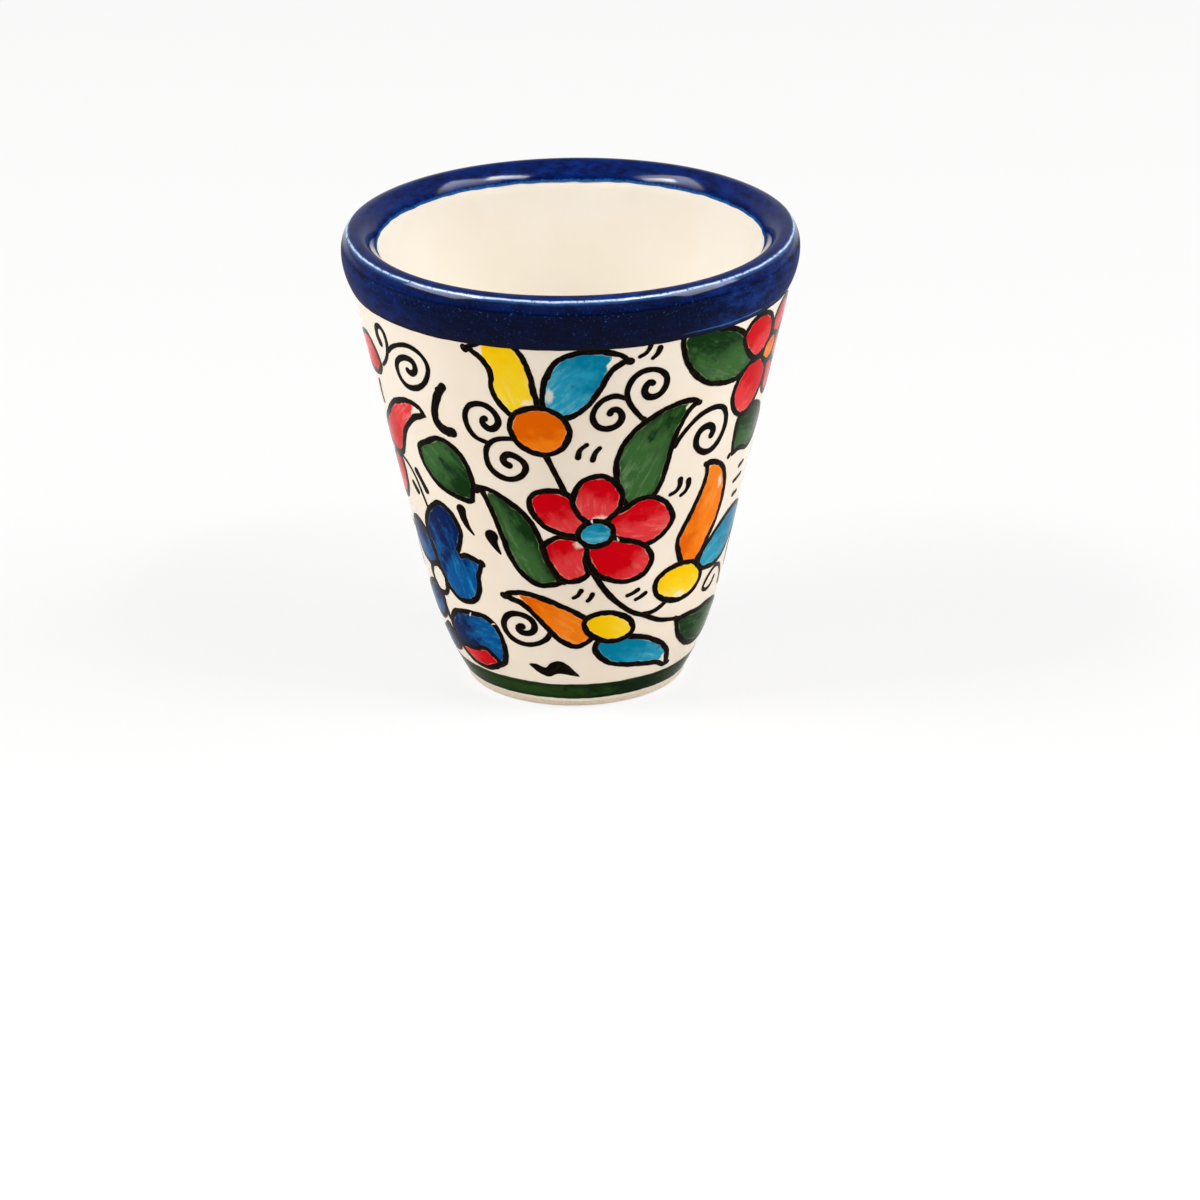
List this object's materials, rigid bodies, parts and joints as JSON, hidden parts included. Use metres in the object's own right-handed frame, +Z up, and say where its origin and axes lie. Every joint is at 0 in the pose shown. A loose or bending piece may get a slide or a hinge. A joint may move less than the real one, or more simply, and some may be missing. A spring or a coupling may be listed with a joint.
{
  "type": "espresso cup",
  "caption": "Handleless tapered espresso cup in glazed earthenware, with a cobalt rim band and freehand painted flowers, leaves, stems and tendrils over a cream glaze.",
  "frame": {"origin": "centre of the foot, on the table", "axes": "+Z up along the cup's axis of turning, -Y towards the face that the picture shows"},
  "size_m": [0.0618, 0.0618, 0.064],
  "materials": {
    "clay": "matte",
    "liner_glaze": "gloss",
    "wall_glaze": "gloss",
    "cobalt_glaze": "gloss",
    "foot_green": "gloss",
    "red_paint": "gloss",
    "orange_paint": "gloss",
    "yellow_paint": "gloss",
    "turquoise_paint": "gloss",
    "blue_paint": "gloss",
    "green_paint": "gloss",
    "black_line": "gloss"
  },
  "bodies": {
    "root": {"clay_body": "clay", "liner_glaze": "liner_glaze", "outer_glaze": "wall_glaze", "rim_glaze": "cobalt_glaze", "foot_line": "foot_green", "red_petals": "red_paint", "orange_petals": "orange_paint", "yellow_petals": "yellow_paint", "turquoise_petals": "turquoise_paint", "blue_petals": "blue_paint", "green_leaves": "green_paint", "flower_outlines": "black_line", "sprig_outlines": "black_line", "leaf_outlines": "black_line", "stems": "black_line", "tendrils": "black_line", "dashes": "black_line"}
  },
  "joints": []
}
